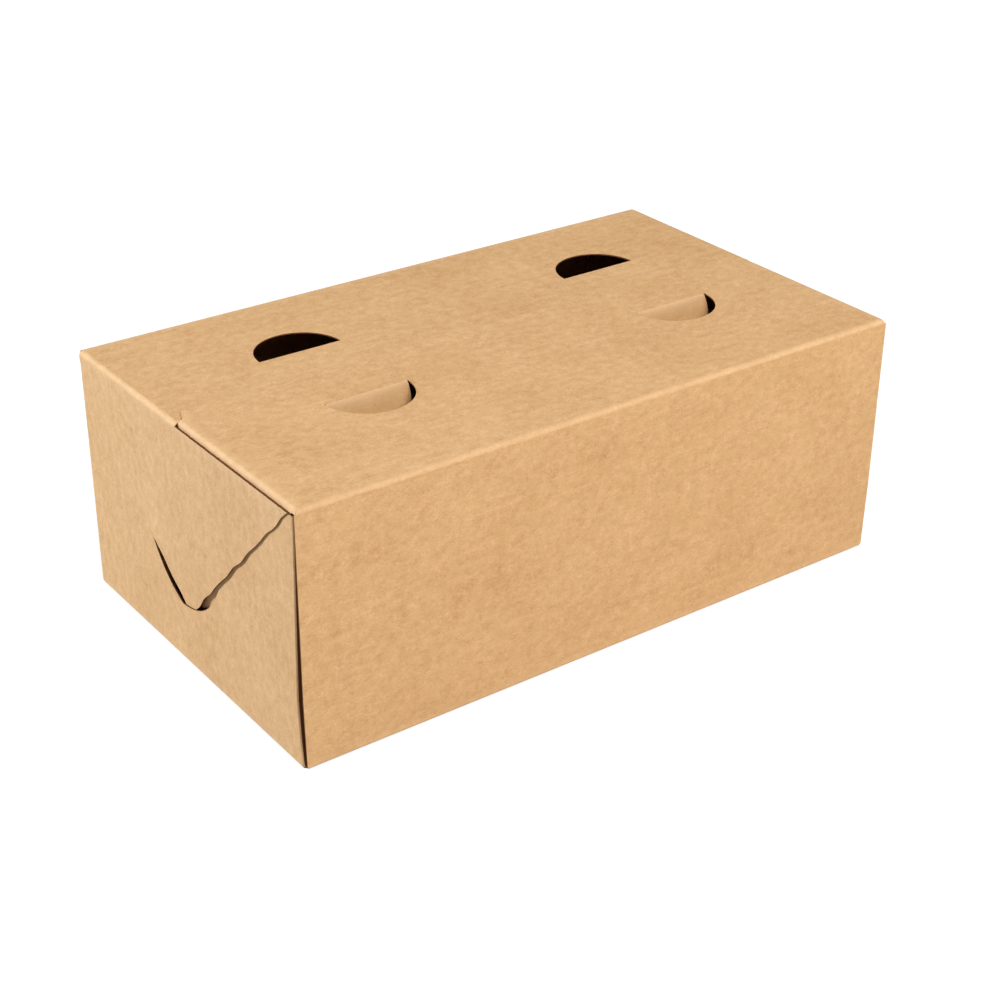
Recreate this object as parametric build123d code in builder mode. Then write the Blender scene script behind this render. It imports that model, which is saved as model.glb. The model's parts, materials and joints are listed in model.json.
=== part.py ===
from build123d import *
import os
from math import cos, hypot, radians, sin, sqrt

# Takeaway food box folded from thin kraft board: a glued tray that carries the lower half lid on its back
# wall, an upper half lid on its front wall, two locking ears and four push-in finger tabs.
# The box stands on its base: X runs along the length, Y from front to back and Z up.

# Overall size: over the ears, over the long walls and to the top of the front half lid
length = 270.0
width = 156.0
height = 102.0

# Board, inner radius of its folds, and the room between loose layers
board = 0.5
fold_inner = 1.3
layer_gap = 0.15

# Glued corners: the flaps behind the long walls, and the cut ends of those walls
corner_flap = 26.0
flap_foot = 2.0
wall_setback = 1.0
wall_taper = 1.4

# Half lids: the joint between them lies behind the middle of the width
seam_y = 7.3
lid_overlap = 6.3
rear_chamfer_along = 2.9
rear_chamfer_across = 6.8
tuck_depth = 38.0
tuck_rear_taper = 12.0
tuck_front_taper = 7.0
tuck_corner = 9.0

# Finger holes and tabs: half-moons in two pairs, with their straight edges towards the joint of the lids
finger_radius = 17.7
finger_inset = 63.5
finger_offset = 4.3
front_crease_setback = 24.2
back_crease_setback = 21.5
finger_kerf = 0.4
crease_gap = 0.1
front_push = 50.0
back_push = 75.0

# Locking slit in each end wall: the part of a disc below a chord, with its tongue bent inwards
slit_radius = 24.4
slit_y = 0.0
slit_centre_z = 53.0
slit_rise = 5.8
slit_kerf = 0.4
tongue_bend = 8.0

# Locking ears: sloping sides with a wave-cut edge, and a tip bent into the slit
ear_tip_half = 6.0
tip_clearance = 0.15
tip_bend = 4.5
ear_side_gap = 1.8
ear_front_gap = 0.8
ear_top_gap = 1.1
ear_back_drop = 4.0
wave_pitch = 16.0
wave_depth = 0.3

# Places of the faces, worked out from the sizes above
fold_radius = fold_inner + board
long_face = width / 2
flap_face = long_face - board
ear_face = length / 2
end_face = ear_face - board - layer_gap
lid_end = end_face - board - layer_gap
long_wall_end = end_face - wall_setback
back_lid_top = height - board - layer_gap
wall_top = back_lid_top - fold_radius
fold_arm = 2 * fold_radius
back_lid_edge = seam_y - lid_overlap
ear_fold_back = long_face - ear_side_gap
tuck_front = -flap_face + fold_radius
tuck_rear = back_lid_edge - layer_gap
slit_chord_z = slit_centre_z - slit_rise
finger_reach = ear_face - finger_inset
finger_x = (finger_offset - finger_reach, finger_offset + finger_reach)
front_crease_y = seam_y - front_crease_setback
back_crease_y = seam_y + back_crease_setback


def folded_board(plane, points, depth, both=False):
    """Board folded along points that follow its outer face, with the inside of the box on their left."""
    with BuildPart() as strip:
        with BuildSketch(plane):
            with BuildLine():
                FilletPolyline(*points, radius=fold_radius)
                offset(amount=board, side=Side.LEFT)
            make_face()
        extrude(amount=depth, both=both)
    return strip.part


def half_moon(radius, rise=0.0):
    """The part of a disc below a chord that runs rise under its centre. The chord's middle is the origin."""
    half_chord = sqrt(radius**2 - rise**2)
    with BuildSketch() as moon:
        with BuildLine():
            Line((-half_chord, 0), (half_chord, 0))
            ThreePointArc((half_chord, 0), (0, rise - radius), (-half_chord, 0))
        make_face()
    return moon.sketch


def wave_cut(start, end):
    """A wave-cut edge from start to end: arcs that bulge to one side and the other in turn."""
    half_waves = max(2, round(2 * hypot(end[0] - start[0], end[1] - start[1]) / wave_pitch))
    step = ((end[0] - start[0]) / half_waves, (end[1] - start[1]) / half_waves)
    for i in range(half_waves):
        near = (start[0] + i * step[0], start[1] + i * step[1])
        far = (near[0] + step[0], near[1] + step[1])
        SagittaArc(near, far, wave_depth if i % 2 else -wave_depth)


# The two folds that open are cut on the plane that halves them, so that each side keeps half of the round
front_fold_points = [
    (-long_face + fold_arm, height),
    (-long_face, height),
    (-long_face, height - fold_arm),
]
front_mitre = Plane(origin=(0, -long_face, height), z_dir=(0, 1, 1))
ear_fold_points = [
    (-ear_face + fold_arm, back_lid_top),
    (-ear_face, back_lid_top),
    (-ear_face, back_lid_top - fold_arm),
]
ear_mitre = Plane(origin=(-ear_face, 0, back_lid_top), z_dir=(1, 0, 1))
wall_fold = folded_board(Plane.YZ, front_fold_points, long_wall_end, both=True)
lid_fold = folded_board(Plane.YZ, front_fold_points, lid_end - fold_radius, both=True)
ear_fold_plane = Plane.XZ.offset(-ear_fold_back)
ear_fold = folded_board(ear_fold_plane, ear_fold_points, ear_fold_back - back_lid_edge)

# End wall, folded up from the base
end_wall_points = [
    (-end_face, wall_top),
    (-end_face, 0),
    (-end_face + fold_arm, 0),
]
end_wall = folded_board(Plane.XZ, end_wall_points, flap_face - fold_radius, both=True)

# Corner flap at the front of the end wall
corner_flap_points = [
    (-end_face, -flap_face + fold_arm),
    (-end_face, -flap_face),
    (-end_face + corner_flap, -flap_face),
]
corner_flap_strip = folded_board(Plane.XY.offset(flap_foot), corner_flap_points, wall_top - flap_foot)

tongue_lean = radians(tongue_bend)
tongue_plane = Plane(
    origin=(-end_face, slit_y, slit_chord_z),
    x_dir=(0, -1, 0),
    z_dir=(-cos(tongue_lean), 0, -sin(tongue_lean)),
)
slit_shape = half_moon(slit_radius, slit_rise)
tongue_shape = half_moon(slit_radius - slit_kerf, slit_rise)

# Left end of the tray, with its corner flaps, slit and tongue
with BuildPart() as left_end:
    add(end_wall)
    add(corner_flap_strip)
    mirror(corner_flap_strip, about=Plane.XZ)
    with BuildSketch(Plane.YZ.offset(-end_face)):
        with Locations((slit_y, slit_chord_z)):
            add(slit_shape)
    extrude(amount=board, mode=Mode.SUBTRACT)
    with BuildSketch(tongue_plane):
        add(tongue_shape)
    extrude(amount=-board)

# Tray: front wall, base, back wall and back half lid in one run of board, then the folds and the ends
with BuildPart() as tray:
    with BuildSketch(Plane.YZ):
        with BuildLine():
            FilletPolyline(
                (-long_face, height - fold_arm),
                (-long_face, 0),
                (long_face, 0),
                (long_face, back_lid_top),
                (back_lid_edge, back_lid_top),
                radius=fold_radius,
            )
            offset(amount=board, side=Side.LEFT)
        make_face()
    extrude(amount=long_wall_end, both=True)
    with BuildSketch(Plane.XZ):
        with BuildLine():
            Polyline(
                (long_wall_end, wall_top),
                (long_wall_end - wall_taper, 0),
                (long_wall_end, 0),
                close=True,
            )
        make_face()
        mirror(about=Plane.YZ)
    extrude(amount=width, both=True, mode=Mode.SUBTRACT)
    add(split(wall_fold, bisect_by=front_mitre, keep=Keep.BOTTOM, mode=Mode.PRIVATE))
    lid_side = split(ear_fold, bisect_by=ear_mitre, keep=Keep.TOP, mode=Mode.PRIVATE)
    for half in (lid_side, left_end.part):
        add(half)
        mirror(half, about=Plane.YZ)
    with BuildSketch(Plane.XY.offset(back_lid_top)):
        with Locations(*[(x, back_crease_y) for x in finger_x]):
            add(half_moon(finger_radius), rotation=180)
    extrude(amount=-board, mode=Mode.SUBTRACT)

# Tuck flap at the left end of the front half lid, narrowing so that it clears the back half lid as it swings out
tuck_points = [
    (-lid_end + fold_arm, height),
    (-lid_end, height),
    (-lid_end, height - tuck_depth),
]
tuck_strip = folded_board(Plane.XZ.offset(-tuck_rear), tuck_points, tuck_rear - tuck_front)
with BuildPart() as left_tuck:
    add(tuck_strip)
    with BuildSketch(Plane.YZ.offset(-lid_end)) as tuck_outline:
        with BuildLine():
            Polyline(
                (tuck_front, height),
                (tuck_front, back_lid_top),
                (tuck_front + tuck_front_taper, height - tuck_depth),
                (tuck_rear - tuck_rear_taper, height - tuck_depth),
                (tuck_rear, back_lid_top),
                (tuck_rear, height),
                close=True,
            )
        make_face()
        fillet(tuck_outline.vertices().group_by(Axis.Y)[0], radius=tuck_corner)
    extrude(amount=fold_arm, mode=Mode.INTERSECT)

# Front half lid
lid_plate_end = lid_end - fold_radius
with BuildPart() as front_lid:
    with BuildSketch(Plane.XY.offset(height - board)):
        with BuildLine():
            Polyline(
                (0, -long_face + fold_radius),
                (lid_plate_end, -long_face + fold_radius),
                (lid_plate_end, seam_y - rear_chamfer_across),
                (lid_plate_end - rear_chamfer_along, seam_y),
                (0, seam_y),
                close=True,
            )
        make_face()
        mirror(about=Plane.YZ)
    extrude(amount=board)
    add(split(lid_fold, bisect_by=front_mitre, keep=Keep.TOP, mode=Mode.PRIVATE))
    add(left_tuck.part)
    mirror(left_tuck.part, about=Plane.YZ)
    with BuildSketch(Plane.XY.offset(height)):
        with Locations(*[(x, front_crease_y) for x in finger_x]):
            add(half_moon(finger_radius))
    extrude(amount=-board, mode=Mode.SUBTRACT)

# Ear outline on the end face, as Y and Z: the tip follows the slit, and the sides rise from it to the corners
tip_radius = slit_radius - tip_clearance
tip_z = slit_centre_z - sqrt(tip_radius**2 - ear_tip_half**2)
ear_free_top = back_lid_top - ear_top_gap
tip_front = (slit_y - ear_tip_half, tip_z)
tip_back = (slit_y + ear_tip_half, tip_z)
tip_lowest = (slit_y, slit_centre_z - tip_radius)
ear_front_corner = (-long_face + ear_front_gap, ear_free_top)
ear_back_corner = (ear_fold_back, back_lid_top - ear_back_drop)

with BuildPart() as ear_blank:
    with BuildSketch(Plane.YZ.offset(-ear_face)):
        with BuildLine():
            wave_cut(ear_front_corner, tip_front)
            ThreePointArc(tip_front, tip_lowest, tip_back)
            wave_cut(tip_back, ear_back_corner)
            Polyline(
                ear_back_corner,
                (ear_fold_back, back_lid_top - fold_radius),
                (back_lid_edge, back_lid_top - fold_radius),
                (back_lid_edge, ear_free_top),
                ear_front_corner,
            )
        make_face()
    extrude(amount=board)

bend_line = Axis((-ear_face, 0, slit_chord_z), (0, -1, 0))
bend_plane = Plane.XY.offset(slit_chord_z)
with BuildPart() as left_ear:
    add(split(ear_blank.part, bisect_by=bend_plane, keep=Keep.TOP, mode=Mode.PRIVATE))
    tip = split(ear_blank.part, bisect_by=bend_plane, keep=Keep.BOTTOM, mode=Mode.PRIVATE)
    add(tip.rotate(bend_line, tip_bend))
    add(split(ear_fold, bisect_by=ear_mitre, keep=Keep.BOTTOM, mode=Mode.PRIVATE))

with BuildPart() as right_ear:
    mirror(left_ear.part, about=Plane.YZ)


def finger_tab(x, crease_y, under_z, towards, push):
    """Half-moon tab pushed in by push degrees about the lower edge of its crease, towards the front or back."""
    lean = radians(push)
    tab_plane = Plane(
        origin=(x, crease_y, under_z),
        x_dir=(towards, 0, 0),
        z_dir=(0, towards * sin(lean), cos(lean)),
    )
    tab_shape = half_moon(finger_radius - finger_kerf, crease_gap)
    with BuildPart() as tab:
        with BuildSketch(tab_plane):
            with Locations((0, crease_gap)):
                add(tab_shape, rotation=180)
        extrude(amount=board)
    return tab


nodes = {"tray": tray, "front_lid": front_lid, "left_ear": left_ear, "right_ear": right_ear}
for side, x in zip(("left", "right"), finger_x):
    nodes["front_" + side + "_tab"] = finger_tab(x, front_crease_y, height - board, -1, front_push)
    nodes["back_" + side + "_tab"] = finger_tab(x, back_crease_y, back_lid_top - board, 1, back_push)

os.makedirs("parts", exist_ok=True)
for name, node in nodes.items():
    node.part.label = name
    export_step(node.part, "parts/" + name + ".step")
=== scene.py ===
import json
from math import ceil, cos, pi, radians, sin

import bpy
import numpy as np
from mathutils import Matrix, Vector
from mathutils.geometry import delaunay_2d_cdt


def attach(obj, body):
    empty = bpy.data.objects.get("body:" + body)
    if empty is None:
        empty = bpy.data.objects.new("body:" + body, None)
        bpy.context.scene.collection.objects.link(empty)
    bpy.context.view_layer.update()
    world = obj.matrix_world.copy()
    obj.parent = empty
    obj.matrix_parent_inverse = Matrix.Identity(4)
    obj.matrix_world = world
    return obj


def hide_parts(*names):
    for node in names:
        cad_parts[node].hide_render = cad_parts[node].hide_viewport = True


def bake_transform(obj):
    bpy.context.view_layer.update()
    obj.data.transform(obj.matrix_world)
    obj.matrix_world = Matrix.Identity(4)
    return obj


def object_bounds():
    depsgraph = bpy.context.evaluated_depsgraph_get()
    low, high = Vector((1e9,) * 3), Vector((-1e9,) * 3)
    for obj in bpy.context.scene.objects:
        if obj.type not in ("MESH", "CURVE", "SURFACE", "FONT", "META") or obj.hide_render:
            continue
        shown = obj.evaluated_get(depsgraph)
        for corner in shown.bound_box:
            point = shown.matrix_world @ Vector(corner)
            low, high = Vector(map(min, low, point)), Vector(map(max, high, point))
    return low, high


# Takeaway food box of thin kraft board. Every sheet of board is a flat blank that is filled with triangles and carried
# into its folds by a formula, with the blank's own flat coordinates kept for the paper's grain.

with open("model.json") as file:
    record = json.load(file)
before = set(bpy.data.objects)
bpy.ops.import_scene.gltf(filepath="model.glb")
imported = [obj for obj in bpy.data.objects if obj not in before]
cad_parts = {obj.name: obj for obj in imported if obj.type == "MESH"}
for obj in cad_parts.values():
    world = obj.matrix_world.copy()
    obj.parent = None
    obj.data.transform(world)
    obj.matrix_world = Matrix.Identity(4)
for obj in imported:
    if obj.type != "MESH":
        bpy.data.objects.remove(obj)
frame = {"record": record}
cad_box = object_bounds()

# Sizes in millimetres, with the overall size and the fold lines taken from the frame
MM = 0.001
low, high = (np.array(corner) / MM for corner in cad_box)
length, width, height = high - low
fold_line = {joint["name"]: np.array(joint["pos_m"]) / MM for joint in frame["record"]["behaviour"]["joints"]}
fold_range = {joint["name"]: joint["range_deg"] for joint in frame["record"]["behaviour"]["joints"]}

board = 0.5
fold_inner = 1.3
layer_gap = 0.15
fold_radius = fold_inner + board
corner_flap = 26.0
corner_radius = 0.56
flap_foot = 1.2
wall_setback = 0.35
front_belly = 0.1
front_foot = 0.6
back_foot = 0.1
seam_y = 7.3
lid_overlap = 6.3
rear_chamfer_along = 2.9
rear_chamfer_across = 6.8
tuck_depth = 38.0
tuck_rear_taper = 12.0
tuck_front_taper = 7.0
tuck_corner = 9.0
finger_radius = 17.7
finger_kerf = 0.4
crease_gap = 0.1
crease_fan = 0.98
slit_left = (28.6, 45.2)
slit_left_pull = (22.0, 31.4)
slit_low = (7.4, 25.0)
slit_right_pull = (-12.4, 26.0)
slit_right = (-21.8, 45.2)
slit_kerf = 0.4
tongue_bend = radians(8.0)
ear_tip_front = -3.4
ear_tip_back = 7.2
tip_clearance = 0.15
tip_bend = radians(4.5)
ear_side_gap = 1.8
ear_front_gap = 2.8
ear_top_gap = 1.1
ear_back_drop = 4.0
wave_pitch = 16.0
wave_depth = 0.3
wave_mean = 0.8
wave_uneven = 0.5
wave_beats = 5

# Places of the faces
long_face = width / 2
flap_face = long_face - board
ear_face = length / 2
end_face = ear_face - board - layer_gap
lid_end = end_face - board - layer_gap
long_wall_end = end_face - wall_setback
back_lid_top = height - board - layer_gap
wall_top = back_lid_top - fold_radius
front_wall_top = height - fold_radius
back_lid_edge = seam_y - lid_overlap
ear_fold_back = long_face - ear_side_gap
ear_free_top = back_lid_top - ear_top_gap
tuck_front = -flap_face + fold_radius
tuck_rear = back_lid_edge - layer_gap
slit_chord_z = slit_left[1]

# How far the panels give between their folds
wall_bow = 0.35
end_bow = 0.6
lid_sag = 0.3

# How far the corner flaps stand off the front wall: the most, its height, the share lost at the top, and the powers of
# the rise from the foot and of the fall away from the corner
stand_off = 3.0
stand_off_z = 28.0
stand_off_fade = 0.95
stand_off_rise = 0.4
stand_off_fall = 8

# Spacing of the points in a sheet and along its cut edges, the room kept free beside an edge, the rows across a fold,
# the places along a folded path, the points in a wave, a step too small to see, and the turn that makes an edge sharp
grid_step = 6.0
edge_step = 0.8
edge_room = 0.6 * edge_step
fold_rows = 9
path_places = 20001
wave_points = 16
tie = 0.01
sharp_turn = radians(40)


def fold_path(points, outward=1, radius=fold_radius):
    """Board folded along points that follow its outer face, as a function of the distance along that face.

    The heading is constant on each leg and turns evenly over each rounded fold. The place is the running sum of short
    steps along the heading, and the outward normal lies a quarter turn from it. The last result is 1 in the middle of
    a fold and dies away beside it."""
    points = np.array(points, float)
    legs = np.diff(points, axis=0)
    headings = np.unwrap(np.arctan2(legs[:, 1], legs[:, 0]))
    turns = np.abs(np.diff(headings))
    trims = radius * np.tan(turns / 2)
    spans = np.zeros(2 * len(legs) - 1)
    spans[0::2] = np.hypot(*legs.T) - np.append(trims, 0) - np.append(0, trims)
    spans[1::2] = radius * turns
    knots = np.append(0, np.cumsum(spans))
    middles = (knots[1:-1:2] + knots[2::2][: len(turns)]) / 2
    travel = np.linspace(0, knots[-1], path_places)
    heading = np.interp(travel, knots, np.repeat(headings, 2))
    half_way = (heading[1:] + heading[:-1]) / 2
    steps = travel[1] * np.stack([np.cos(half_way), np.sin(half_way)], 1)
    places = points[0] + np.vstack([np.zeros(2), np.cumsum(steps, axis=0)])

    def at(distance):
        place = np.stack([np.interp(distance, travel, axis) for axis in places.T], 1)
        angle = np.interp(distance, travel, heading)
        normal = outward * np.stack([np.sin(angle), -np.cos(angle)], 1)
        fold = np.exp(-(((distance[:, None] - middles) / radius) ** 2)).max(axis=1)
        return place, normal, fold

    at.knots = knots
    return at


def closed(points, spacing=edge_step):
    """A closed outline with points added along its sides, no further apart than spacing."""
    points = np.array(points, float)
    sides = np.roll(points, -1, axis=0) - points
    counts = np.ceil(np.hypot(*sides.T) / spacing).astype(int).clip(1)
    first = np.repeat(np.cumsum(counts) - counts, counts)
    share = (np.arange(counts.sum()) - first) / np.repeat(counts, counts)
    return np.repeat(points, counts, axis=0) + share[:, None] * np.repeat(sides, counts, axis=0)


def arc(centre, radius, start, end, count=48):
    """Points on a circle from one angle to another, in degrees."""
    angle = np.radians(np.linspace(start, end, count))
    return np.stack([centre[0] + radius * np.cos(angle), centre[1] + radius * np.sin(angle)], 1)


def pulled(start, pull, end, count=24):
    """A curve from start to end that leaves and arrives along the lines to a pull point: a quadratic mean of the
    three points."""
    start, pull, end = (np.array(point, float) for point in (start, pull, end))
    share = np.linspace(0, 1, count)[:, None]
    return (1 - share) ** 2 * start + 2 * share * (1 - share) * pull + share**2 * end


def wave_cut(start, end):
    """A wave-cut edge from start to end: a sine wave of uneven height across the straight line between them."""
    start, end = np.array(start), np.array(end)
    run = np.hypot(*(end - start))
    waves = round(run / wave_pitch)
    share = np.linspace(0, 1, wave_points * waves + 1)
    across = np.array([start[1] - end[1], end[0] - start[0]]) / run
    depth = wave_depth * (wave_mean + wave_uneven * np.sin(wave_beats * pi * share))
    swing = depth * np.sin(2 * pi * waves * share)
    return start + share[:, None] * (end - start) + swing[:, None] * across


def inside(points, outline):
    """True for each point that a ray to the right meets the outline an odd number of times from."""
    x, y = points[:, :1], points[:, 1:]
    ax, ay = outline.T
    bx, by = np.roll(outline, -1, axis=0).T
    spans = (ay > y) != (by > y)
    rise = np.where(by == ay, 1, by - ay)
    return (spans & (x < ax + (y - ay) * (bx - ax) / rise)).sum(axis=1) % 2 == 1


def grid_lines(start, end, dense=()):
    """Lines over a sheet: an even spacing, and more lines across each fold, given as its first and last line."""
    lines = [np.arange(start, end, grid_step)]
    for first, last in dense:
        lines.append(np.linspace(first, last, fold_rows))
    return np.unique(np.concatenate(lines).round(4))


def filled(outline, holes, lines_u, lines_v):
    """Points and triangles that fill a flat outline with holes, on the crossings of two sets of lines."""
    loops = [outline, *holes]
    crossings = np.stack(np.meshgrid(lines_u, lines_v), -1).reshape(-1, 2)
    keep = inside(crossings, outline)
    for hole in holes:
        keep &= ~inside(crossings, hole)
    crossings = crossings[keep]
    rim = np.concatenate(loops)
    near = np.concatenate([
        np.hypot(*(part[:, None] - rim).transpose(2, 0, 1)).min(axis=1)
        for part in np.array_split(crossings, len(crossings) // 500 + 1)
    ])
    points = np.concatenate([rim, crossings[near > edge_room]])
    counts = np.array([len(loop) for loop in loops])
    first = np.repeat(np.cumsum(counts) - counts, counts)
    places = np.arange(counts.sum())
    edges = np.stack([places, first + (places - first + 1) % np.repeat(counts, counts)], 1)
    found, _, triangles, *_ = delaunay_2d_cdt(points.tolist(), edges.tolist(), [], 1, 1e-6)
    found, triangles = np.array([tuple(point) for point in found]), np.array(triangles)
    middles = found[triangles].mean(axis=1)
    keep = inside(middles, outline)
    for hole in holes:
        keep &= ~inside(middles, hole)
    return found, triangles[keep]


def sheet(name, outline, holes, lines_u, lines_v, shape, grain_offset=(0, 0), painted_gap_shade=None, raw_edge=1.0):
    """A closed piece of board: two skins of the same triangles, and a band of quads round every cut edge.

    shape(u, v, w) gives the place of flat point u, v at depth w under the outer face, and the nearness of a fold.
    The mask function for painted shade is true at u, v where another sheet lies over the outer face, which a painted
    shadow darkens there. raw_edge is the share of pulp that a cut edge shows, in browns darkened as painted shade."""
    flat, triangles = filled(outline, holes, lines_u, lines_v)
    pairs = np.concatenate([triangles[:, [0, 1]], triangles[:, [1, 2]], triangles[:, [2, 0]]])
    count = len(flat)
    codes = pairs[:, 0] * count + pairs[:, 1]
    rim = pairs[~np.isin(codes, pairs[:, 1] * count + pairs[:, 0])]
    all_flat = np.concatenate([flat, flat])
    all_deep = np.repeat([0, board], count)
    places, fold = shape(all_flat[:, 0], all_flat[:, 1], all_deep)
    # Mask of painted shade for faces that another sheet lies over
    gap_shade_values = painted_gap_shade(*all_flat.T) if painted_gap_shade else np.zeros(len(all_flat))

    band = np.hstack([rim, rim[:, ::-1] + count])
    skins = np.concatenate([triangles[:, ::-1], triangles + count])
    corners = places[skins]
    volume = np.einsum("ij,ij->i", corners[:, 0], np.cross(corners[:, 1], corners[:, 2])).sum()
    if volume < 0:
        skins, band = skins[:, ::-1], band[:, ::-1]

    mesh = bpy.data.meshes.new(name)
    mesh.from_pydata((places * MM).tolist(), [], skins.tolist() + band.tolist())
    loop_points = np.empty(len(mesh.loops), int)
    mesh.loops.foreach_get("vertex_index", loop_points)
    grain = (all_flat + np.array(grain_offset)) * MM
    mesh.uv_layers.new(name="blank").uv.foreach_set("vector", grain[loop_points].ravel())
    cut = np.concatenate([np.zeros(len(skins)), np.full(len(band), raw_edge)])
    for label, domain, values in (
        ("depth", "POINT", all_deep / board),
        ("fold", "POINT", fold),
        ("painted_gap_shade", "POINT", gap_shade_values),
        ("cut", "FACE", cut),
    ):
        mesh.attributes.new(label, "FLOAT", domain).data.foreach_set("value", values.astype(np.float32))
    mesh.polygons.foreach_set("use_smooth", np.ones(len(mesh.polygons), bool))
    mesh.set_sharp_from_angle(angle=sharp_turn)
    mesh.update()
    piece = bpy.data.objects.new(name, mesh)
    bpy.context.scene.collection.objects.link(piece)
    return piece


def half_moon(middle, radius, towards):
    """Half-moon outline with its straight edge on a crease, and its round side towards the front or the back."""
    return closed(arc(middle, radius, 0, towards * 180))


# Tray: the blank is a cross of base, long walls, back half lid and end walls with their corner flaps
fold_length = fold_radius * pi / 2
wrap = fold_path([
    (-long_face, front_wall_top),
    (-long_face, 0),
    (long_face, 0),
    (long_face, back_lid_top),
    (back_lid_edge, back_lid_top),
])
end_rise = fold_path([(0, 0), (end_face, 0), (end_face, wall_top)])
corner_turn = fold_path([(0, 0), (flap_face, 0), (flap_face, corner_flap)], radius=corner_radius)
wrap_middle = wrap.knots[2] + long_face - fold_radius
base_end = end_rise.knots[1]
wall_foot = wrap_middle - wrap.knots[1]
back_fold = wrap.knots[5:7] - wrap_middle
lid_reach = wrap.knots[-1] - wrap_middle
flap_line = corner_turn.knots[1]
flap_end = corner_turn.knots[-1]
rise_top = end_rise.knots[-1]
slit_foot = end_rise.knots[2] - fold_radius


# Locking slit on the end wall, as y and z: two curves that meet in a low corner under a level chord
slit_curve = np.concatenate([
    pulled(slit_left, slit_left_pull, slit_low)[:-1],
    pulled(slit_low, slit_right_pull, slit_right),
])
slit_middle = np.array([(slit_left[0] + slit_right[0]) / 2, slit_chord_z])


def drawn_in(curve, step):
    """The slit's curve drawn in by about a step, towards the middle of its chord."""
    return slit_middle + (curve - slit_middle) * (1 - step / (slit_chord_z - slit_low[1]))


tongue_rim = drawn_in(slit_curve, slit_kerf / 2)


def end_give(y, z):
    """How far an end wall bows in: half a cosine across it and half a sine up it."""
    return end_bow * np.cos(pi / 2 * (y / flap_face).clip(-1, 1)) * np.sin(pi * (z / wall_top).clip(0, 1))


def corner_give(v, z, along):
    """How far the front corner flaps stand off the front wall: a power of the height from the foot up, and a straight
    line from there to the top. It fades with a high power of the place across the end wall, and with the square of the
    place along the flap."""
    rising = (z.clip(0) / stand_off_z) ** stand_off_rise
    falling = 1 - stand_off_fade * (z - stand_off_z) / (wall_top - stand_off_z)
    near = (np.abs(v) / flap_line).clip(0, 1) ** stand_off_fall * (1 - along / corner_flap).clip(0, 1) ** 2
    return np.where(v < 0, stand_off * np.minimum(rising, falling).clip(0) * near, 0)


def tray_shape(u, v, w):
    """The base and long walls follow the wrap across the box. Beyond the base's ends the board rises, and turns in at
    the corner flaps. A tongue below the slit's chord leans inwards. Each wall bows in as a half sine both ways."""
    side = np.sign(u)
    run, run_out, run_fold = wrap(v + wrap_middle)
    x = u
    y, z = (run - w[:, None] * run_out).T
    between = np.cos(pi / 2 * (u / long_wall_end).clip(-1, 1))
    y = y - run_out[:, 0] * wall_bow * between * np.sin(pi * (z / height).clip(0, 1))
    lid_share = ((long_face - run[:, 0]) / (long_face - back_lid_edge)).clip(0, 1)
    z = z - np.where(run[:, 1] > height / 2, lid_sag * between * np.sin(pi * lid_share), 0)

    rise, rise_out, rise_fold = end_rise(np.abs(u))
    turn, turn_out, turn_fold = corner_turn(np.abs(v))
    up = rise[:, 1]
    in_tongue = inside(np.stack([v, up], 1), tongue_rim)
    drop = np.where(in_tongue, slit_chord_z - up, 0)
    lean = drop * sin(tongue_bend) + end_give(v, up)
    end_x = rise[:, 0] - turn[:, 1] + w * rise_out[:, 0] * turn_out[:, 1] - lean
    end_y = np.sign(v) * (turn[:, 0] - w * turn_out[:, 0]) + corner_give(v, up, turn[:, 1])
    end_z = up - w * rise_out[:, 1] + drop * (1 - cos(tongue_bend))
    at_end = np.abs(u) > np.where(np.abs(v) > flap_line + tie, end_face, base_end + tie)
    places = np.stack([np.where(at_end, side * end_x, x), np.where(at_end, end_y, y), np.where(at_end, end_z, z)], 1)
    chord_fold = np.where(in_tongue, np.exp(-(((slit_chord_z - up) / fold_radius) ** 2)), 0)
    return places, np.where(at_end, np.maximum.reduce([rise_fold, turn_fold, chord_fold]), run_fold)


half_blank = np.array([
    (long_wall_end, -wrap_middle),
    (long_wall_end - front_belly, fold_radius - wall_foot - stand_off_z),
    (long_wall_end - front_foot, -wall_foot),
    (base_end, -flap_line - 2 * tie),
    (base_end, -long_face + fold_radius),
    (slit_foot + flap_foot, -flap_line),
    (slit_foot + flap_foot, -flap_end),
    (rise_top, -flap_end),
    (rise_top, flap_end),
    (slit_foot + flap_foot, flap_end),
    (slit_foot + flap_foot, flap_line),
    (base_end, long_face - fold_radius),
    (base_end, flap_line + 2 * tie),
    (long_wall_end - back_foot, wall_foot),
    (long_wall_end, back_fold[0]),
    (ear_face - fold_radius, back_fold[1]),
    (ear_face - fold_radius, lid_reach),
])
tray_outline = closed(np.concatenate([half_blank, half_blank[::-1] * (-1, 1)]))


def slit(side):
    """Cut of the locking slit on the flat end wall: a thin band between its curve and the same curve drawn in."""
    inner = drawn_in(slit_curve, slit_kerf)[::-1]
    cut = np.concatenate([slit_curve, inner[1:-1]])
    return closed(np.stack([side * (slit_foot + cut[:, 1]), cut[:, 0]], 1))


finger_x = [fold_line["back_left_tab_crease"][0], fold_line["back_right_tab_crease"][0]]
back_crease_y = fold_line["back_left_tab_crease"][1]
front_crease_y = fold_line["front_left_tab_crease"][1]
back_crease_v = lid_reach - (back_crease_y - back_lid_edge)
back_holes = [half_moon((x, back_crease_v), finger_radius, -1) for x in finger_x]
end_folds = [(base_end, end_rise.knots[2])]
chord_u = slit_foot + slit_chord_z
tray_folds_u = end_folds + [(chord_u - fold_inner, chord_u + fold_inner)]


def behind_long_wall(u, v):
    """True on the corner flaps, which lie behind the long walls; their outer faces get a painted shade for the deep
    gap by the corners.
    """
    return (np.abs(u) > end_face) & (np.abs(v) > corner_turn.knots[2] + tie)


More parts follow.
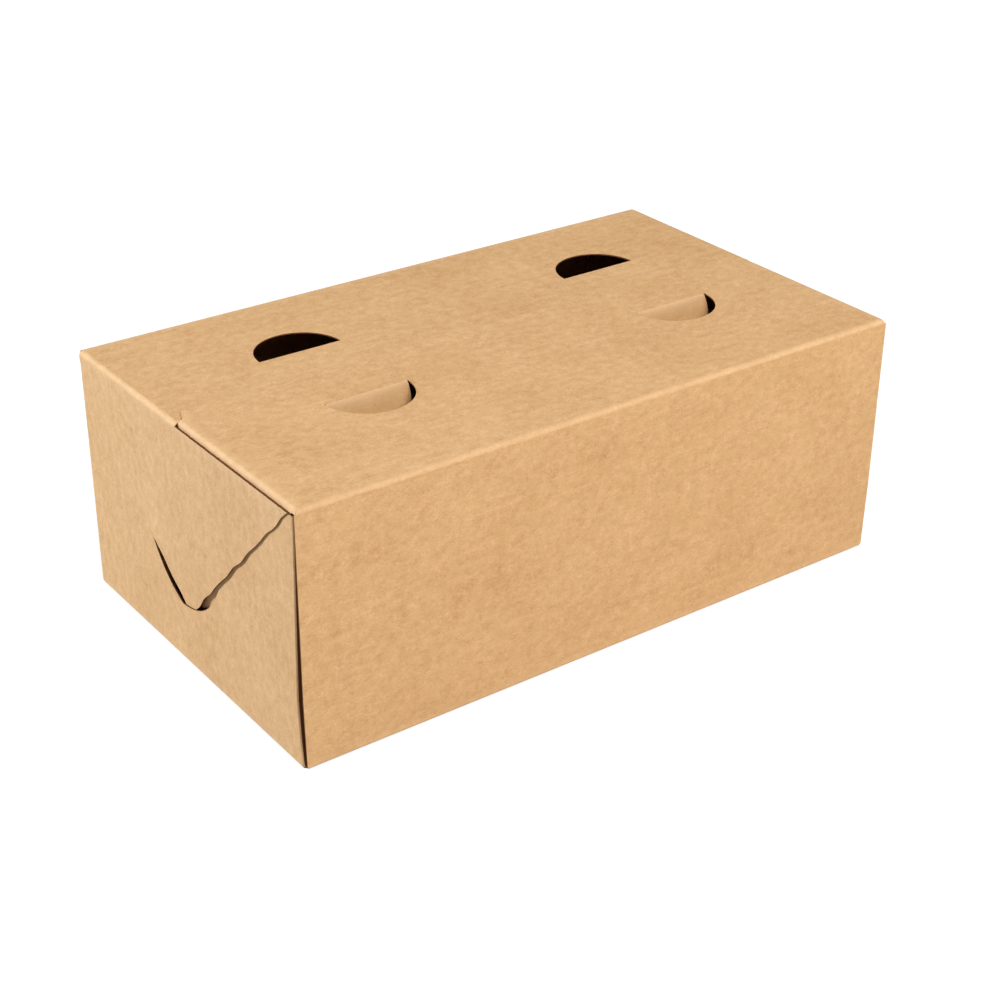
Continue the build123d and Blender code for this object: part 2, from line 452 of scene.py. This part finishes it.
tray = sheet(
    "tray_sheet",
    tray_outline,
    [slit(-1), slit(1), *back_holes],
    grid_lines(-rise_top, rise_top, tray_folds_u + [(-b, -a) for a, b in tray_folds_u]),
    grid_lines(-wrap_middle, lid_reach, [
        (-wall_foot, -long_face + fold_radius),
        (long_face - fold_radius, wall_foot),
        (flap_line, corner_turn.knots[2]),
        (-corner_turn.knots[2], -flap_line),
        tuple(back_fold),
    ]),
    tray_shape,
    # The corner flaps' outer faces get a painted shade that stands in for the dark gap by the front corners
    painted_gap_shade=behind_long_wall,
)

# Front half lid: a plate with a tuck flap folded down at each end
lid_turn = fold_path([(0, height), (lid_end, height), (lid_end, height - tuck_depth)], outward=-1)
lid_front = -long_face + fold_radius
tuck_fold = lid_turn.knots[1:3]
tuck_tip = lid_turn.knots[-1]


def sag_under(x, y):
    """Sag of the front half lid: half a cosine along it and half a sine from its fold to its free edge."""
    across = ((y - lid_front) / (seam_y - lid_front)).clip(0, 1)
    return lid_sag * np.cos(pi / 2 * (x / lid_end).clip(-1, 1)) * np.sin(pi * across)


def front_lid_shape(u, v, w):
    """A level plate whose ends turn down and follow the end walls, lowered by its sag."""
    run, out, fold = lid_turn(np.abs(u))
    x, z = (run - w[:, None] * out).T
    return np.stack([np.sign(u) * (x - end_give(v, z)), v, z - sag_under(u, v)], 1), fold


def rounded(corner, before, after, radius):
    """Round off a corner of an outline: a curve from one side to the other, pulled towards the corner."""
    corner, before, after = (np.array(point, float) for point in (corner, before, after))
    start = corner + radius * (before - corner) / np.hypot(*(before - corner))
    end = corner + radius * (after - corner) / np.hypot(*(after - corner))
    return pulled(start, corner, end)


tuck_corners = [
    (tuck_fold[1], tuck_front),
    (tuck_tip, tuck_front + tuck_front_taper),
    (tuck_tip, tuck_rear - tuck_rear_taper),
    (tuck_fold[1], tuck_rear),
]
half_lid = np.concatenate([
    [(tuck_fold[1], lid_front), tuck_corners[0]],
    rounded(tuck_corners[1], tuck_corners[0], tuck_corners[2], tuck_corner),
    rounded(tuck_corners[2], tuck_corners[1], tuck_corners[3], tuck_corner),
    [
        tuck_corners[3],
        (tuck_fold[0], tuck_rear),
        (tuck_fold[0], seam_y - rear_chamfer_across),
        (tuck_fold[0] - rear_chamfer_along, seam_y),
    ],
])
front_lid = sheet(
    "front_lid_sheet",
    closed(np.concatenate([half_lid, half_lid[::-1] * (-1, 1)])),
    [half_moon((x, front_crease_y), finger_radius, -1) for x in finger_x],
    grid_lines(-tuck_tip, tuck_tip, [tuple(tuck_fold), tuple(-tuck_fold[::-1])]),
    grid_lines(lid_front, seam_y),
    front_lid_shape,
    grain_offset=(0, -400),
)

# Locking ears: a triangle with wave-cut sides, and a tip that bends into the slit
tip_run = drawn_in(slit_curve, tip_clearance)[::-1]
tip_edge = tip_run[(tip_run[:, 0] > ear_tip_front) & (tip_run[:, 0] < ear_tip_back)]
ear_outline = closed(np.concatenate([
    wave_cut((-long_face + ear_front_gap, ear_free_top), tip_edge[0])[:-1],
    tip_edge[:-1],
    wave_cut(tip_edge[-1], (ear_fold_back, back_lid_top - ear_back_drop)),
    [
        (ear_fold_back, wall_top),
        (back_lid_edge, wall_top),
        (back_lid_edge, ear_free_top),
    ],
]))


def ear_shape(side):
    """Flat on the end face, with y and z as its flat coordinates, and leaning in below the slit's chord."""
    def shape(u, v, w):
        y, z = v, -u
        drop = (slit_chord_z - z).clip(0)
        x = ear_face - w - drop * sin(tip_bend)
        fold = np.exp(-(((z - back_lid_top) / fold_radius) ** 2))
        return np.stack([side * x, y, z + drop * (1 - cos(tip_bend))], 1), fold
    return shape


ear_sides = {"left": -1, "right": 1}
ears = {
    name: sheet(
        name + "_ear_sheet",
        ear_outline[:, ::-1] * (-1, 1),
        [],
        grid_lines(-height, 0),
        grid_lines(-long_face, long_face),
        ear_shape(side),
        grain_offset=(side * 300, 300),
    )
    for name, side in ear_sides.items()
}

# Finger tabs: half-moons that lean in from their crease
tab_radius = finger_radius - finger_kerf
tab_towards = {"front": -1, "back": 1}
tab_push = {row: -radians(fold_range[row + "_left_tab_crease"][0]) for row in tab_towards}


def tab_shape(line, towards, push, sag):
    """Turned down by push about a line on the lower face: v runs from the crease to the round edge, and the lower
    face starts a crease gap away from the line."""
    def shape(u, v, w):
        up = board - w
        reach = v + crease_gap * w / board * (1 - v / tab_radius)
        y = line[1] + towards * (reach * cos(push) + up * sin(push))
        z = line[2] - sag - reach * sin(push) + up * cos(push)
        return np.stack([line[0] + u, y, z], 1), np.exp(-((v / fold_radius) ** 2))
    return shape


def crease_shape(line, towards, push, sag):
    """The board across a tab's crease: a fan about the line on the lower face, from the lid to the pushed tab."""
    def shape(u, v, w):
        radius = board - crease_fan * w
        angle = v / board
        y = line[1] + towards * radius * np.sin(angle)
        z = line[2] - sag + radius * np.cos(angle)
        return np.stack([line[0] + u, y, z], 1), np.ones(len(u))
    return shape


def fold_shape(level, turn, side=0):
    """The board round a fold of the box: a quarter ring about its inner centre, from upright to level.

    level gives the ring's centre, across and up. The level side follows the turn of the panel's own end: the place
    along the fold and the drop of the ring both come from that turn, the drop times the sine of the ring's angle."""
    def shape(u, v, w):
        angle = v / fold_radius
        lift = np.sin(angle)
        run, out, _ = turn(np.abs(u))
        along = np.sign(u) * (run[:, 0] - w * out[:, 0] * lift)
        deep = w * (1 - lift * (1 - out[:, 1]))
        across = level[0] - (fold_radius - w) * np.cos(angle)
        up = run[:, 1] * lift + level[1] * (1 - lift) - deep * lift
        places = [side * across, along, up] if side else [along, across, up]
        return np.stack(places, 1), np.exp(-(((angle - pi / 4) / (pi / 4)) ** 2))
    return shape


def strip(name, start, end, run, shape, grain_offset):
    """A strip of board along a crease, from start to end along it and over a run across it.

    Its rows of points share the places of the points on its long sides, so no triangle cuts across the bend."""
    columns = ceil((end - start) / edge_step)
    return sheet(
        name,
        closed([(start, 0), (end, 0), (end, run), (start, run)]),
        [],
        np.linspace(start, end, columns + 1)[1:-1],
        np.linspace(0, run, fold_rows)[1:-1],
        shape,
        grain_offset,
        raw_edge=0.0,
    )


tabs = {}
creases = {}
for row in ("front", "back"):
    for place in ("left", "right"):
        name = row + "_" + place + "_tab"
        line = fold_line[name + "_crease"]
        towards, push = tab_towards[row], tab_push[row]
        back_share = (long_face - line[1]) / (long_face - back_lid_edge)
        back_sag = lid_sag * cos(pi / 2 * line[0] / long_wall_end) * sin(pi * back_share)
        sag = sag_under(line[0], line[1]) if row == "front" else back_sag
        offset = (line[0] * 3, line[1] * 5)
        tabs[name] = sheet(
            name + "_sheet",
            half_moon((0, 0), tab_radius, 1),
            [],
            grid_lines(-tab_radius, tab_radius),
            grid_lines(0, tab_radius),
            tab_shape(line, towards, push, sag),
            offset,
        )
        creases[name] = strip(
            name + "_crease_strip",
            -tab_radius,
            tab_radius,
            board * push,
            crease_shape(line, towards, push, sag),
            offset,
        )

front_fold = strip(
    "front_lid_fold_strip",
    -tuck_fold[1],
    tuck_fold[1],
    fold_length,
    fold_shape((lid_front, front_wall_top), lid_turn),
    (0, -500),
)
back_turn = fold_path([(0, back_lid_top), (long_face, back_lid_top), (long_face, 0)], outward=-1)
ear_folds = {
    name: strip(
        name + "_ear_fold_strip",
        back_lid_edge,
        back_turn.knots[1],
        fold_length,
        fold_shape((-ear_face + fold_radius, wall_top), back_turn, -side),
        (-side * 200, 500),
    )
    for name, side in ear_sides.items()
}


def linear(red, green, blue):
    """A colour as seen on screen, 0 to 255, as linear light for a shader."""
    seen = np.array([red, green, blue]) / 255
    return (*np.where(seen <= 0.04045, seen / 12.92, ((seen + 0.055) / 1.055) ** 2.4), 1.0)


class Wire:
    """A socket in a material: sums, products and powers of wires and numbers add Math nodes."""

    def __init__(self, tree, socket=None):
        self.tree = tree
        self.socket = socket

    def node(self, kind, settings=None, inputs=None, output=0):
        """A new node: its settings are set first, then each input is linked or given its value."""
        made = self.tree.nodes.new(kind)
        for name, value in (settings or {}).items():
            setattr(made, name, value)
        for name, value in (inputs or {}).items():
            if isinstance(value, Wire):
                self.tree.links.new(value.socket, made.inputs[name])
            else:
                made.inputs[name].default_value = value
        return Wire(self.tree, made.outputs[output] if len(made.outputs) else None)

    def math(self, operation, first, second=0.0):
        return self.node("ShaderNodeMath", {"operation": operation}, {0: first, 1: second})

    def __add__(self, other):
        return self.math("ADD", self, other)

    def __radd__(self, other):
        return self.math("ADD", other, self)

    def __sub__(self, other):
        return self.math("SUBTRACT", self, other)

    def __rsub__(self, other):
        return self.math("SUBTRACT", other, self)

    def __mul__(self, other):
        return self.math("MULTIPLY", self, other)

    def __rmul__(self, other):
        return self.math("MULTIPLY", other, self)

    def __gt__(self, other):
        return self.math("GREATER_THAN", self, other)

    def __lt__(self, other):
        return self.math("LESS_THAN", self, other)


# Kraft paper as seen in even light: a dark and a pale fibre, a yellow cloud, a redder brown painted as warm shade on
# the tabs, a fold paled by stretched fibre and a painted highlight, painted shade on the inner face and on a face that
# another sheet lies over, cut paper and its darker ply both darkened as painted shade, and a fleck
kraft_dark = linear(186, 129, 73)
kraft_pale = linear(252, 207, 154)
kraft_yellow = linear(224, 180, 123)
# A redder brown, painted on the tabs as the warm shade they take in their holes
painted_warm_brown = linear(228, 158, 87)
# Folds: paled by stretched fibre and by a painted highlight
fold_stretch_and_highlight = linear(248, 208, 160)
# Painted shade on the inner face of every sheet, darkening the inside of the box
inner_face_shade = linear(140, 94, 54)
# Painted shade for faces that another sheet lies over: the dark of the narrow gap by the front corners
gap_shade_brown = linear(92, 54, 28)
# Cut edges: the pulp's brown and a darker ply, both darkened further as painted shade so that narrow gaps look dark
cut_pulp_and_shade = linear(140, 88, 46)
cut_dark_ply_and_shade = linear(98, 58, 28)
fleck_dark = linear(150, 98, 50)

# Shares of the inner face's painted shade and of a fleck's, and the noise that a fleck has to pass
inner_shade_share = 0.65
fleck_share = 0.3
fleck_level = 0.245


def kraft_board(name, seed, painted_light_lift=0.0, painted_warm_share=0.0, fold_stretch_and_highlight_share=0.35):
    """Kraft paper: cloudy formation, short fibres, faint streaks along the grain, yellower clouds, dark flecks, folds
    made pale by stretched fibre and a painted highlight, painted shade on the inner face and on faces that another
    sheet lies over, and on cut edges plies of pulp in two browns darkened as painted shade. The tone lift is painted
    light that makes a lighter copy of the paper, the warm share mixes in a redder brown as painted warm shade, and the
    fold share sets how strong the fold's pale and painted highlight are."""
    material = bpy.data.materials.new(name)
    material.use_nodes = True
    tree = material.node_tree
    tree.nodes.clear()
    start = Wire(tree)
    blank = start.node("ShaderNodeUVMap", {"uv_map": "blank"})

    def noise(along, across, detail=3.0, shift=0.0):
        """Noise on the blank in cells per millimetre along and across the grain, centred on 0."""
        placed = start.node(
            "ShaderNodeMapping",
            inputs={"Vector": blank, "Scale": (along / MM, across / MM, 1), "Location": (seed + shift, seed, seed)},
        )
        found = start.node(
            "ShaderNodeTexNoise",
            {"noise_dimensions": "2D"},
            {"Vector": placed, "Scale": 1.0, "Detail": detail, "Roughness": 0.6},
        )
        return found - 0.5

    def mixed(share, first, second):
        return start.node("ShaderNodeMix", {"data_type": "RGBA"}, {0: share, 6: first, 7: second}, 2)

    def attribute(label):
        return start.node("ShaderNodeAttribute", {"attribute_name": label}, output="Fac")

    depth, fold, cut, painted_gap_shade = (attribute(label) for label in ("depth", "fold", "cut", "painted_gap_shade"))
    clouds = noise(0.03, 0.035)
    hue = noise(0.09, 0.12, 3.0, 5.0)
    formation = noise(0.22, 0.3, 5.0)
    fibres = noise(0.7, 1.1, 3.0)
    streaks = noise(0.02, 0.5, 2.0)
    grain = noise(2.0, 2.4, 2.0)
    flecks = noise(0.6, 2.0, 1.0, 7.0) > fleck_level
    # The tone lift is painted light
    tone = 0.5 + painted_light_lift + 0.36 * clouds + 0.72 * formation + 0.48 * fibres + 0.14 * streaks + 0.6 * grain
    paper = mixed(tone, kraft_dark, kraft_pale)
    paper = mixed(0.25 + 0.9 * hue, paper, kraft_yellow)
    # A share of the redder brown, painted as warm shade
    paper = mixed(painted_warm_share, paper, painted_warm_brown)
    paper = mixed(fleck_share * flecks, paper, fleck_dark)
    # Folds paled by stretched fibre and a painted highlight
    paper = mixed(fold * fold_stretch_and_highlight_share, paper, fold_stretch_and_highlight)
    # Painted shade on the inner face
    paper = mixed(inner_shade_share * (depth > 0.5), paper, inner_face_shade)
    # Painted shade on the outer faces that another sheet lies over
    paper = mixed(painted_gap_shade * (depth < 0.5), paper, gap_shade_brown)
    # Cut edges: plies of pulp in two browns, darkened as painted shade
    plies = start.math("SINE", depth * (5 * pi) + 6 * fibres)
    edge = mixed(0.5 + 0.3 * plies + 0.8 * grain, cut_pulp_and_shade, cut_dark_ply_and_shade)
    colour = mixed(cut, paper, edge)

    height_map = 0.5 * fibres + 0.35 * grain + 0.3 * formation
    bump = start.node("ShaderNodeBump", inputs={"Strength": 0.05, "Distance": 0.12 * MM, "Height": height_map})
    surface = start.node(
        "ShaderNodeBsdfPrincipled",
        inputs={
            "Base Color": colour,
            "Roughness": 0.8 + 0.25 * formation,
            "Specular IOR Level": 0.3,
            "Normal": bump,
        },
    )
    start.node("ShaderNodeOutputMaterial", inputs={"Surface": surface})
    return material


finishes = {
    "tray_board": kraft_board("tray_board", 3.0),
    "lid_board": kraft_board("lid_board", 17.0),
    "ear_board": kraft_board("ear_board", 29.0),
    # The tabs are a lighter, redder copy of the same paper: painted light and painted warm shade, with a stronger
    # painted highlight on their crease
    "tab_board": kraft_board("tab_board", 41.0, painted_light_lift=0.14, painted_warm_share=0.3, fold_stretch_and_highlight_share=0.6),
}


def finish(piece, slot):
    piece.data.materials.append(finishes[slot])


def mount(piece, body, slot):
    """A sheet that stands for the CAD node of the same name as its body."""
    finish(piece, slot)
    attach(piece, body)
    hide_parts(body)


def hinge(piece, slot):
    """A strip of board over a fold of the box: it gets its finish, and its place is baked into its points."""
    finish(piece, slot)
    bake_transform(piece)


mount(tray, "tray", "tray_board")
mount(front_lid, "front_lid", "lid_board")
for name, ear in ears.items():
    mount(ear, name + "_ear", "ear_board")
for name, tab in tabs.items():
    mount(tab, name, "tab_board")

hinge(front_fold, "lid_board")
for name, side in ear_sides.items():
    hinge(ear_folds[name], "ear_board")
for name, crease in creases.items():
    row = name.split("_")[0]
    line = fold_line[name + "_crease"]
    towards, push = tab_towards[row], tab_push[row]
    hinge(crease, "tab_board")


# Floor, light and camera
def floor_finish():
    """White floor: camera and mirror rays meet a glow that rises to white away from the object, and near the object a
    matt white that keeps its shadow."""
    material = bpy.data.materials.new("white_floor")
    material.use_nodes = True
    tree = material.node_tree
    tree.nodes.clear()
    start = Wire(tree)
    seen = start.node("ShaderNodeLightPath", output="Is Camera Ray")
    glossy = start.node("ShaderNodeLightPath", output="Is Glossy Ray")
    through = start.node("ShaderNodeLightPath", output="Is Transmission Ray")
    seen = start.math("MAXIMUM", start.math("MAXIMUM", seen, glossy), through)
    matt = start.node("ShaderNodeBsdfDiffuse", inputs={"Color": (0.4, 0.4, 0.4, 1)})
    place = start.node("ShaderNodeTexCoord", output="Object")
    distance = start.node("ShaderNodeVectorMath", {"operation": "LENGTH"}, {0: place}, "Value")
    far = start.node("ShaderNodeMapRange", inputs={"Value": distance, "From Min": 0.3, "From Max": 1.2})
    glow = start.node("ShaderNodeEmission", inputs={"Color": (1, 1, 1, 1), "Strength": seen * (0.75 + 0.25 * far)})
    surface = start.node("ShaderNodeAddShader", inputs={0: matt, 1: glow})
    start.node("ShaderNodeOutputMaterial", inputs={"Surface": surface})
    return material


floor_half = 6.0
floor_mesh = bpy.data.meshes.new("floor")
floor_corners = [(x * floor_half, y * floor_half, 0) for x, y in ((-1, -1), (1, -1), (1, 1), (-1, 1))]
floor_mesh.from_pydata(floor_corners, [], [(0, 1, 2, 3)])
floor = bpy.data.objects.new("floor", floor_mesh)
floor.data.materials.append(floor_finish())
bpy.context.scene.collection.objects.link(floor)

world = bpy.data.worlds.new("studio")
bpy.context.scene.world = world
world.use_nodes = True
sky = Wire(world.node_tree)
world.node_tree.nodes.clear()
seen = sky.node("ShaderNodeLightPath", output="Is Camera Ray")
ambient = 0.1
backdrop = sky.node(
    "ShaderNodeBackground",
    inputs={"Color": (1, 1, 1, 1), "Strength": ambient + (1 - ambient) * seen},
)
sky.node("ShaderNodeOutputWorld", inputs={"Surface": backdrop})


def aimed(location, target):
    """Rotation that points a lamp's own -Z from location to target."""
    back = np.array(location) - np.array(target)
    back = back / np.linalg.norm(back)
    right = np.cross((0, 1, 0) if abs(back[2]) > 0.99 else (0, 0, 1), back)
    right = right / np.linalg.norm(right)
    return Matrix(np.stack([right, np.cross(back, right), back], 1).tolist()).to_4x4()


def softbox(name, location, wide, tall, power, tint=(1, 1, 1)):
    lamp = bpy.data.lights.new(name, "AREA")
    lamp.shape = "RECTANGLE"
    lamp.size = wide
    lamp.size_y = tall
    lamp.energy = power
    lamp.color = tint
    held = bpy.data.objects.new(name, lamp)
    held.matrix_world = Matrix.Translation(location) @ aimed(location, (0, 0, high[2] * MM / 2))
    bpy.context.scene.collection.objects.link(held)


softbox("overhead_softbox", (0.08, -0.7, 1.1), wide=0.9, tall=0.9, power=12.1)
softbox("left_softbox", (-1.4, 1.2, 0.72), wide=0.35, tall=0.35, power=38.6, tint=(0.91, 1.01, 1.13))
softbox("front_softbox", (0.35, -1.3, 0.13), wide=1.2, tall=0.26, power=7.1)

# The camera looks along a fitted direction. Its place is given in its own axes, as millimetres from the base's middle.
view_azimuth = radians(-36.506)
view_elevation = radians(28.465)
view_roll = radians(0.529)
view_distance = 784.32
view_right = 4.285
view_up = 25.796
focal_pixels = 1925.5
image_pixels = 1000
sensor_width = 36.0

back = np.array([
    sin(view_azimuth) * cos(view_elevation),
    -cos(view_azimuth) * cos(view_elevation),
    sin(view_elevation),
])
level = np.array([cos(view_azimuth), sin(view_azimuth), 0])
upright = np.cross(back, level)
right = cos(view_roll) * level + sin(view_roll) * upright
up = cos(view_roll) * upright - sin(view_roll) * level
camera_data = bpy.data.cameras.new("camera")
camera_data.sensor_width = sensor_width
camera_data.lens = focal_pixels / image_pixels * sensor_width
camera_data.clip_start = 0.01
camera = bpy.data.objects.new("camera", camera_data)
camera_place = (view_distance * back + view_right * right + view_up * up) * MM
camera.matrix_world = Matrix.Translation(camera_place) @ Matrix(np.stack([right, up, back], 1).tolist()).to_4x4()
bpy.context.scene.collection.objects.link(camera)
bpy.context.scene.camera = camera
bpy.context.scene.view_settings.view_transform = "Standard"
